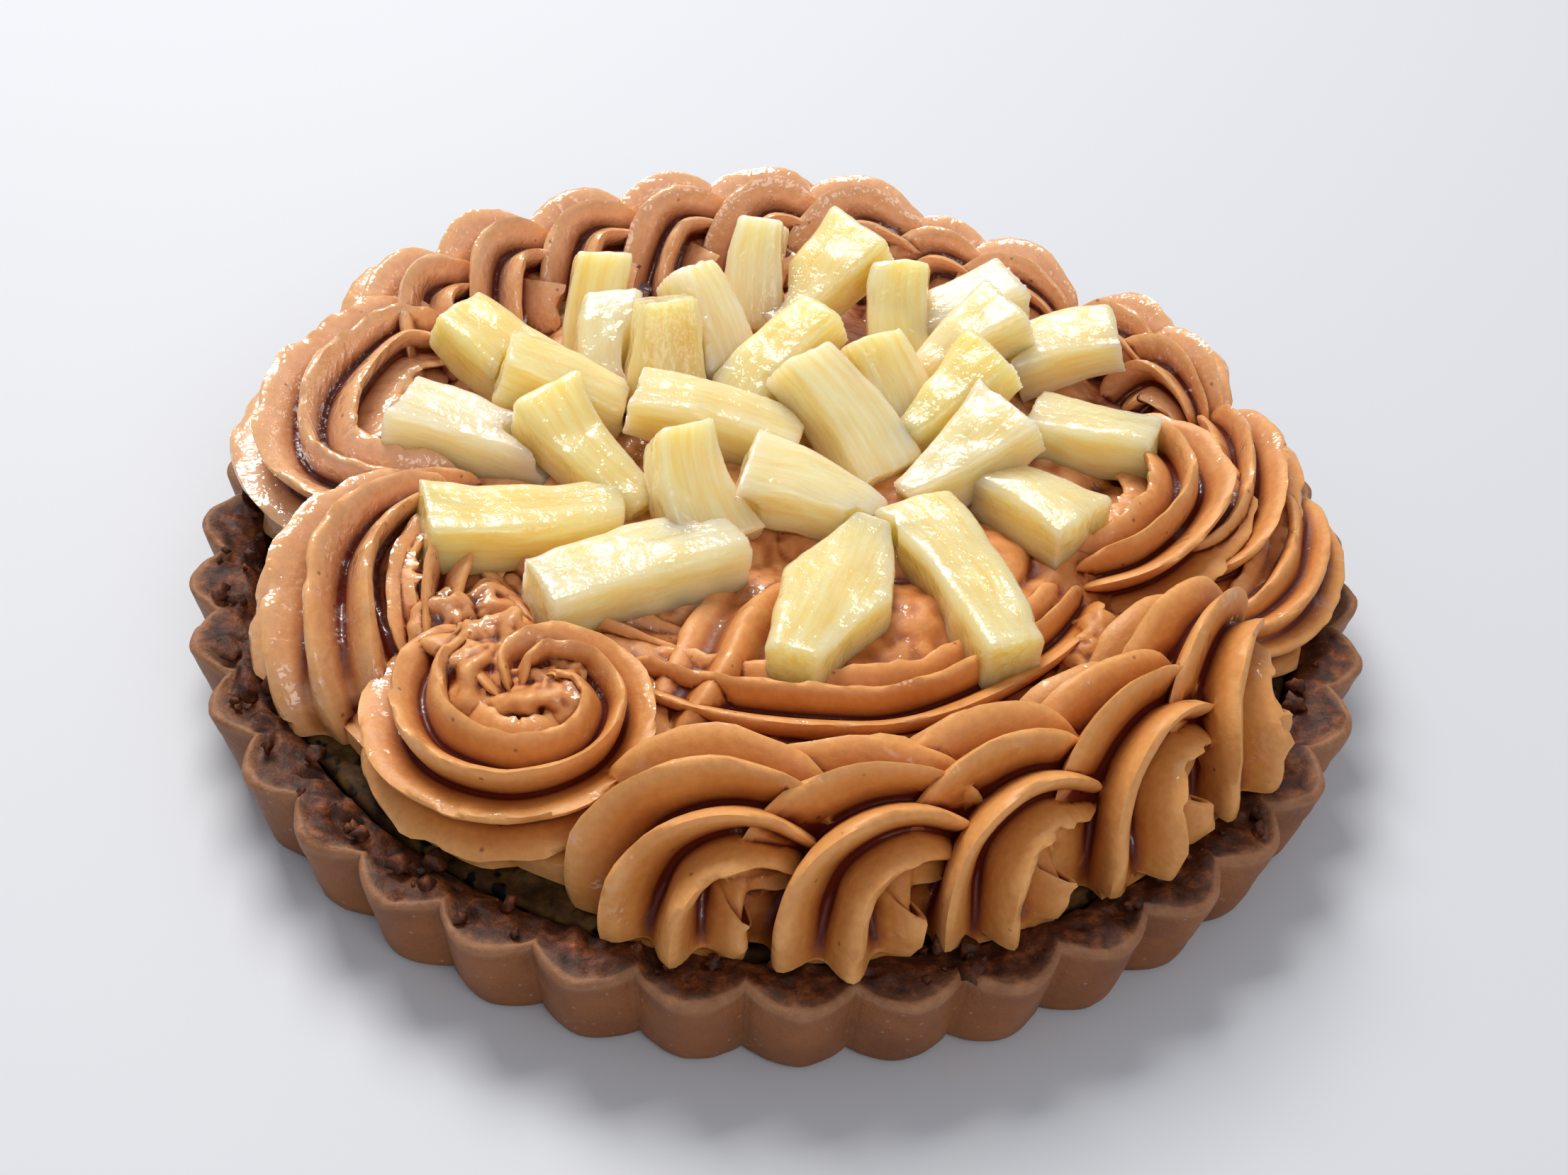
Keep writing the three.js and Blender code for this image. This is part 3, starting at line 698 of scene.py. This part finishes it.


# Sweet potato cream: smooth orange-brown with scattered dark specks, paler on its thin fins with painted
# light and darker in its grooves with painted shade. Towards the back left it is wet with juice and shines in
# wet patches, and its paler, pinker colour there is painted light, as from the window behind.
def sweet_potato_cream():
    material, tree = new_material("sweet_potato_cream")
    place = add(tree, "NewGeometry")
    lip = add(tree, "Attribute", out="Fac", attribute_name="lip")
    depth = add(tree, "VectorMath", {0: place, 1: (-0.5, 1, 0)}, out="Value", operation="DOT_PRODUCT")
    patch = add(tree, "TexNoise", {"Vector": place, "Scale": 1 / (7 * MM), "Detail": 3})
    grain = add(tree, "TexNoise", {"Vector": place, "Scale": 1 / (0.8 * MM), "Detail": 3})
    speck = add(tree, "TexVoronoi", {"Vector": place, "Scale": 1 / (3 * MM)})
    away = add(tree, "MapRange", {"Value": depth, "From Min": -30 * MM, "From Max": 30 * MM})
    body = add(tree, "ValToRGB", {"Fac": patch}, [(0.3, "#ca7f3a"), (0.7, "#d8944f")])
    # Painted light: towards the back left the cream is paler and pinker, as lit by the window behind and
    # reflecting it.
    painted_back_light = add(tree, "ValToRGB", {"Fac": patch}, [(0.3, "#e8b084"), (0.7, "#f4c49c")])
    mixed = add(tree, "Mix", {"Factor": away, COLOUR_A: body, COLOUR_B: painted_back_light}, out=MIXED,
                data_type="RGBA")
    # Painted shade: the grooves, and less so the flat parts, are darkened by how little each point stands
    # out.
    painted_groove_shade = add(tree, "ValToRGB", {"Fac": lip}, [(0.2, "#702f0a"), (0.43, "#dac0a8"), (0.57, "#ffffff")])
    deep = add(tree, "Mix", {"Factor": 1, COLOUR_A: mixed, COLOUR_B: painted_groove_shade}, out=MIXED,
               data_type="RGBA", blend_type="MULTIPLY")
    # Painted light: the thinnest fins are made paler, as where they catch the light.
    rise = add(tree, "MapRange", {"Value": lip, "From Min": 0.6, "To Max": 0.55})
    thin = add(tree, "Mix", {"Factor": rise, COLOUR_A: deep, COLOUR_B: lin("#efb573")}, out=MIXED,
               data_type="RGBA")
    dark = add(tree, "ValToRGB", {"Fac": speck}, [(0.04, "#6a3a20"), (0.09, "#ffffff")])
    mottle = add(tree, "ValToRGB", {"Fac": grain}, [(0.35, "#dccdc0"), (0.62, "#ffffff")])
    grained = add(tree, "Mix", {"Factor": 0.3, COLOUR_A: thin, COLOUR_B: mottle}, out=MIXED,
                  data_type="RGBA", blend_type="MULTIPLY")
    colour = add(tree, "Mix", {"Factor": 0.6, COLOUR_A: grained, COLOUR_B: dark}, out=MIXED,
                 data_type="RGBA", blend_type="MULTIPLY")
    rough = add(tree, "MapRange", {"Value": away, "To Min": 0.46, "To Max": 0.34})
    pool = add(tree, "TexNoise", {"Vector": place, "Scale": 1 / (3 * MM), "Detail": 2})
    soaked = add(tree, "Math", {0: away, 1: 0.4, 2: pool}, operation="MULTIPLY_ADD")
    wet = add(tree, "MapRange", {"Value": soaked, "From Min": 0.6, "From Max": 0.74})
    bump = add(tree, "Bump", {"Height": grain, "Strength": 0.25, "Distance": 0.3 * MM})
    ripple = add(tree, "TexNoise", {"Vector": place, "Scale": 1 / (1.6 * MM), "Detail": 2})
    film = add(tree, "Bump", {"Height": ripple, "Strength": 0.6, "Distance": 1 * MM})
    shader = add(tree, "BsdfPrincipled", {
        "Base Color": colour, "Roughness": rough, "Normal": bump, "IOR": 1.42,
        "Subsurface Weight": 0.2, "Subsurface Radius": (1, 0.45, 0.2), "Subsurface Scale": 1.4 * MM,
        "Coat Weight": wet, "Coat Roughness": 0.05, "Coat IOR": 1.8, "Coat Normal": film})
    add(tree, "OutputMaterial", {"Surface": shader})
    return material


cream = mesh_object("piped_cream_swirls", *lofted(mound_rows()))
strands = []
for number, line in enumerate(piped_strokes()):
    strands.append(mesh_object(f"strand_{number}", *lofted(strand_rows(line, number))))
strands += [mesh_object("torn", *lofted(torn_rows(*lump))) for lump in TORN_LUMPS]
joined(cream, strands, "UNION")
joined(cream, [mesh_object("cream_room", *lofted(room_rows()))], "INTERSECT")
keep_largest(cream.data)
cream.data.shade_smooth()
cream.data.set_sharp_from_angle(angle=math.radians(CREASE))
store(cream.data, "lip", lips(cream.data))
settle(cream, sweet_potato_cream(), ["piped_cream"])


# Fruit: wedges of ripe pineapple cut from thin slices, wet, pale yellow and translucent, with fibres
# along their length. They lie like the rays of a star with their inner ends in the cream.
FRUIT_VOXEL = 0.35
FRUIT_SMOOTHING = 4
FRUIT_BEND = 1.4
FRUIT_BEND_LEVEL = 0.35
FRUIT_TAPER = 0.13
FRUIT_TWIST = 9
# Fibres, lumps and the fray of the cut ends: size, height, seed and stretch along the wedge
FIBRE_SIZE = 0.8
FIBRE_HEIGHT = 0.035
FIBRE_SEED = 50
FIBRE_STRETCH = (0.12, 1, 1)
LUMP_SIZE = 6
LUMP_HEIGHT = 0.55
LUMP_SEED = 90
LUMP_STRETCH = (0.7, 1, 1)
SMALL_LUMP_SIZE = 2.5
SMALL_LUMP_SHARE = 0.4
SMALL_LUMP_SEED = 91
FRAY_SIZE = 0.9
FRAY_HEIGHT = 0.15
FRAY_SEED = 120
END_GAIN = 1.6
END_LEVEL = 0.7
FLESH_VARIETY = 50
RIPENESS = {"fruit_wedge_06": 1, "fruit_wedge_20": 0, "fruit_wedge_26": 0.1}
USUAL_RIPENESS = 0.6
RIPENESS_SPREAD = 0.25
RIPENESS_TURN = 2.4


def fruit_wedge(name):
    """A fuller copy of a solid wedge: fine mesh, softened corners, shallow fibres and rough-cut ends.

    Each wedge is also bent, twisted and tapered a little in its own way."""
    piece = bpy.data.objects.new(name + "_flesh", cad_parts[name].data.copy())
    bpy.context.scene.collection.objects.link(piece)
    remesh = piece.modifiers.new("fine", "REMESH")
    remesh.mode = "VOXEL"
    remesh.voxel_size = FRUIT_VOXEL * MM
    soften = piece.modifiers.new("soft", "SMOOTH")
    soften.iterations = FRUIT_SMOOTHING
    mesh = with_modifiers(piece)
    place, normal = point_values(mesh, "co") / MM, point_values(mesh, "normal")
    middle = place.mean(0)
    axes = np.linalg.svd(place - middle, full_matrices=False)[2]
    local = (place - middle) @ axes.T
    seed = int(name[-2:])
    fibre = relief(local * FIBRE_STRETCH, FIBRE_SIZE, FIBRE_SEED + seed)
    lump = relief(local * LUMP_STRETCH, LUMP_SIZE, LUMP_SEED + seed)
    lump += SMALL_LUMP_SHARE * relief(local, SMALL_LUMP_SIZE, SMALL_LUMP_SEED + seed)
    end = np.clip(np.abs(normal @ axes[0]) * END_GAIN - END_LEVEL, 0, 1)
    fray = relief(local, FRAY_SIZE, FRAY_SEED + seed)
    lift = FIBRE_HEIGHT * fibre + LUMP_HEIGHT * lump + FRAY_HEIGHT * end * fray
    dice = np.random.default_rng(seed)
    bend, taper, twist = dice.uniform(-1, 1, 3) * (FRUIT_BEND, FRUIT_TAPER, math.radians(FRUIT_TWIST))
    part = local[:, 0] / np.abs(local[:, 0]).max()
    wide, high = local[:, 1:].T * (1 + taper * part)
    turn = twist * part
    sideways = wide * np.cos(turn) - high * np.sin(turn) + bend * (part ** 2 - FRUIT_BEND_LEVEL)
    upwards = wide * np.sin(turn) + high * np.cos(turn)
    shaped = np.column_stack([local[:, 0], sideways, upwards]) @ axes + middle
    mesh.vertices.foreach_set("co", ((shaped + normal * lift[:, None]) * MM).ravel())
    layer = mesh.attributes.new("along", "FLOAT_VECTOR", "POINT")
    layer.data.foreach_set("vector", ((local + FLESH_VARIETY * seed) * MM).astype(np.float32).ravel())
    ripe = RIPENESS.get(name, USUAL_RIPENESS + RIPENESS_SPREAD * math.sin(RIPENESS_TURN * seed))
    store(mesh, "ripeness", np.full(len(place), ripe))
    mesh.update()
    mesh.shade_smooth()
    return piece


# Ripe pineapple: pale to golden yellow, cloudy inside like wet glass, with faint fibres and a wet skin.
def ripe_pineapple():
    material, tree = new_material("ripe_pineapple")
    grain = add(tree, "Attribute", out="Vector", attribute_name="along")
    ripeness = add(tree, "Attribute", out="Fac", attribute_name="ripeness")
    stretch = add(tree, "Mapping", {"Vector": grain, "Scale": (0.1, 1, 1)})
    fibre = add(tree, "TexNoise", {"Vector": stretch, "Scale": 1 / (0.9 * MM), "Detail": 4, "Roughness": 0.6})
    patch = add(tree, "TexNoise", {"Vector": grain, "Scale": 1 / (6 * MM), "Detail": 2})
    pale = add(tree, "ValToRGB", {"Fac": fibre}, [(0.34, "#efd2a6"), (0.66, "#f8e4c4")])
    gold = add(tree, "ValToRGB", {"Fac": fibre}, [(0.34, "#f6c474"), (0.66, "#fcd898")])
    shift = add(tree, "MapRange", {"Value": patch, "To Min": -0.35, "To Max": 0.35})
    share = add(tree, "Math", {0: ripeness, 1: shift}, operation="ADD", use_clamp=True)
    flesh = add(tree, "Mix", {"Factor": share, COLOUR_A: pale, COLOUR_B: gold}, out=MIXED,
                data_type="RGBA")
    ripple = add(tree, "TexNoise", {"Vector": grain, "Scale": 1 / (1.2 * MM), "Detail": 2})
    film = add(tree, "Bump", {"Height": ripple, "Strength": 0.5, "Distance": 0.7 * MM})
    bump = add(tree, "Bump", {"Height": fibre, "Strength": 0.25, "Distance": 0.3 * MM})
    shader = add(tree, "BsdfPrincipled", {
        "Base Color": flesh, "Roughness": 0.35, "Normal": bump, "IOR": 1.36,
        "Subsurface Weight": 1, "Subsurface Radius": (1, 0.9, 0.6), "Subsurface Scale": 12 * MM,
        "Subsurface Anisotropy": 0.8,
        "Coat Weight": 0.9, "Coat Roughness": 0.04, "Coat Normal": film})
    add(tree, "OutputMaterial", {"Surface": shader})
    return material


pineapple = ripe_pineapple()
for wedge_name in sorted(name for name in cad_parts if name.startswith("fruit_wedge")):
    settle(fruit_wedge(wedge_name), pineapple, [wedge_name])


# Stage: a plain pale floor that the tart stands on, and soft daylight that comes mostly from the back
# left, as through a large window, with a weaker light from the front right and an even glow all round.
FLOOR_HALF = 900
FLOOR_CORNERS = [(-FLOOR_HALF, -FLOOR_HALF, 0), (FLOOR_HALF, -FLOOR_HALF, 0),
                 (FLOOR_HALF, FLOOR_HALF, 0), (-FLOOR_HALF, FLOOR_HALF, 0)]
GLOW = 0.4
AIM = (0, 0, 0.01)


# Pale floor: matt and light, a cool grey that takes the soft shadow of the tart.
def pale_floor():
    material, tree = new_material("pale_floor")
    shader = add(tree, "BsdfPrincipled", {"Base Color": lin("#cdd1da"), "Roughness": 0.6})
    add(tree, "OutputMaterial", {"Surface": shader})
    return material


def soft_light(name, place, size, power, colour):
    """A square area light that faces the tart."""
    lamp = bpy.data.lights.new(name, "AREA")
    lamp.size = size
    lamp.energy = power
    lamp.color = lin(colour)[:3]
    made = bpy.data.objects.new(name, lamp)
    made.location = place
    made.rotation_euler = (Vector(AIM) - Vector(place)).to_track_quat("-Z", "Y").to_euler()
    bpy.context.scene.collection.objects.link(made)


floor = mesh_object("floor", FLOOR_CORNERS, [(0, 1, 2, 3)])
floor.data.materials.append(pale_floor())
soft_light("window", (-0.2, 0.44, 0.66), size=0.4, power=6.6, colour="#fffaf2")
soft_light("fill", (0.3, -0.62, 0.58), size=0.5, power=1.9, colour="#fffaf4")
world = bpy.data.worlds.new("studio")
world.use_nodes = True
world.node_tree.nodes["Background"].inputs["Color"].default_value = lin("#eef2f7")
world.node_tree.nodes["Background"].inputs["Strength"].default_value = GLOW
bpy.context.scene.world = world
bpy.context.scene.view_settings.view_transform = "Standard"


# Camera: close in front of the tart, about 21 cm from its middle and 42 degrees above it, so that the
# front of the rim looks wider than the back. It is rolled by a few degrees.
FOCAL_PIXELS = 2800
IMAGE_WIDTH = 2212
SENSOR_WIDTH = 36
NEAREST = 0.01
CAMERA_DISTANCE = 213.3
CAMERA_RISE = math.radians(42.3)
PAN = math.radians(0.22)
TILT = math.radians(41.42)
ROLL = math.radians(3.82)
look = Vector((math.sin(PAN) * math.cos(TILT), math.cos(PAN) * math.cos(TILT), -math.sin(TILT)))
right = look.cross(Vector((0, 0, 1))).normalized()
above = right.cross(look)
rolled_right = math.cos(ROLL) * right + math.sin(ROLL) * above
rolled_up = math.cos(ROLL) * above - math.sin(ROLL) * right
camera = bpy.data.objects.new("camera", bpy.data.cameras.new("camera"))
camera.data.sensor_width = SENSOR_WIDTH
camera.data.lens = SENSOR_WIDTH * FOCAL_PIXELS / IMAGE_WIDTH
camera.data.clip_start = NEAREST
camera.matrix_world = Matrix((rolled_right, rolled_up, -look)).transposed().to_4x4()
camera.location = Vector((0, -math.cos(CAMERA_RISE), math.sin(CAMERA_RISE))) * CAMERA_DISTANCE * MM
bpy.context.scene.collection.objects.link(camera)
bpy.context.scene.camera = camera
